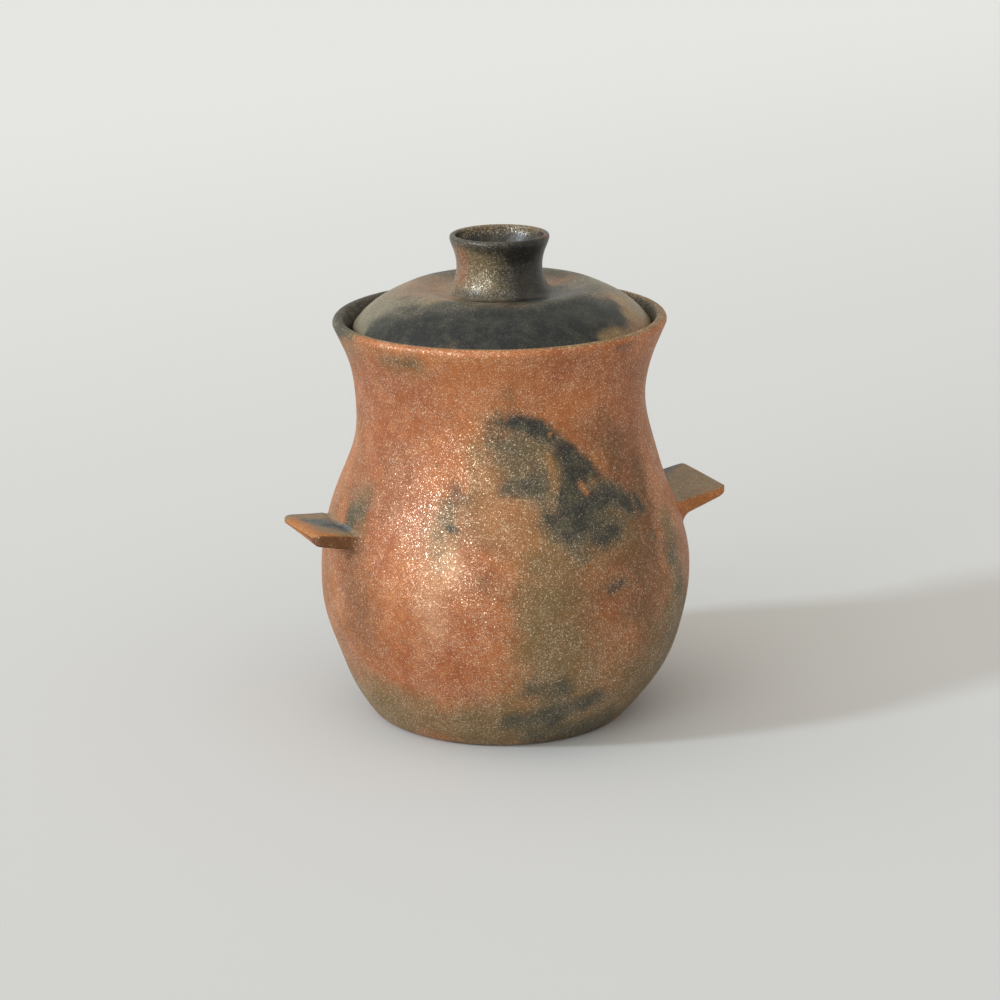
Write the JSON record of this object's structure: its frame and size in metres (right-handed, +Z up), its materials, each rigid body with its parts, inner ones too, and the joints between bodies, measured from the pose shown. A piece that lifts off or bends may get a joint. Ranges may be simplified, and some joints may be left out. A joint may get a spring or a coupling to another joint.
{
  "type": "lidded bean pot",
  "caption": "Hand-built round-bellied stoneware cooking and serving pot with two flat lug handles, a flared mouth and a domed drop-in lid whose hollow collar knob stands in a shallow dish.",
  "frame": {"origin": "centre of the flat base, on the surface the pot stands on", "axes": "+Z up along the pot's axis, the two lugs on the X axis (left_lug towards -X, right_lug towards +X)"},
  "size_m": [0.2204, 0.1848, 0.2425],
  "materials": {
    "pot_clay": "unglazed burnished clay with mica flecks and fire clouds, satin",
    "lug_clay": "unglazed burnished clay with mica flecks, satin",
    "lid_clay": "unglazed burnished clay with mica flecks and a dark fire cloud, satin",
    "knob_clay": "unglazed burnished clay with mica flecks, satin"
  },
  "bodies": {
    "pot": {"pot_body": "pot_clay", "left_lug": "lug_clay", "right_lug": "lug_clay"},
    "lid": {"lid_dome": "lid_clay", "lid_knob": "knob_clay"}
  },
  "joints": [
    {"name": "lid_lift", "type": "slide", "parent": "pot", "child": "lid", "axis": [0, 0, 1], "range_m": [0, 0.12]}
  ]
}
